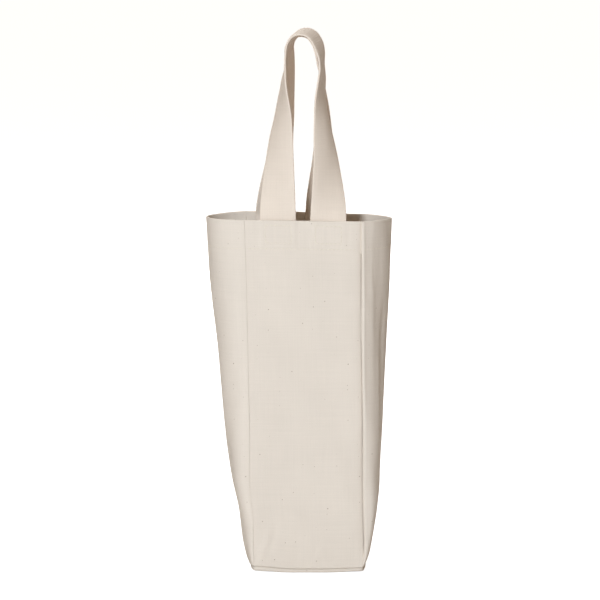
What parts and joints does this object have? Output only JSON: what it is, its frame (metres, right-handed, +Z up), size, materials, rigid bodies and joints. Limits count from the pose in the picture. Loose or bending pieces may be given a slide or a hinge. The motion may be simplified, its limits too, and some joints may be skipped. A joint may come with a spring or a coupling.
{
  "type": "canvas bottle carrier",
  "caption": "Upright sewn canvas carrier for one wine bottle, with flat panels, bellied side gussets, a square base and a pair of webbing loop handles that swing.",
  "frame": {"origin": "middle of the base, on the surface that the carrier stands on", "axes": "+Z up, -Y towards the front panel, X across the panels, towards the gussets"},
  "size_m": [0.1502, 0.093, 0.4305],
  "materials": {
    "canvas": "plain woven, unbleached",
    "webbing": "ribbed cotton webbing",
    "thread": "matt cotton thread"
  },
  "bodies": {
    "bag": {"back_handle_left_end": "webbing", "back_handle_left_tack": "thread", "back_handle_right_end": "webbing", "back_handle_right_tack": "thread", "back_left_overlock": "thread", "back_left_seam_stitching": "thread", "back_panel": "canvas", "back_right_overlock": "thread", "back_right_seam_stitching": "thread", "base_panel": "canvas", "base_seam_stitching": "thread", "front_handle_left_end": "webbing", "front_handle_left_tack": "thread", "front_handle_right_end": "webbing", "front_handle_right_tack": "thread", "front_left_overlock": "thread", "front_left_seam_stitching": "thread", "front_panel": "canvas", "front_right_overlock": "thread", "front_right_seam_stitching": "thread", "hem_stitching": "thread", "left_gusset": "canvas", "right_gusset": "canvas"},
    "front_handle": {"front_handle_loop": "webbing"},
    "back_handle": {"back_handle_loop": "webbing"}
  },
  "joints": [
    {"name": "front_handle_swing", "type": "hinge", "parent": "bag", "child": "front_handle", "pos_m": [0, -0.0336, 0.2815], "axis": [1, 0, 0], "range_deg": [0, 175]},
    {"name": "back_handle_swing", "type": "hinge", "parent": "bag", "child": "back_handle", "pos_m": [0, 0.0336, 0.2815], "axis": [-1, 0, 0], "range_deg": [0, 175]}
  ]
}
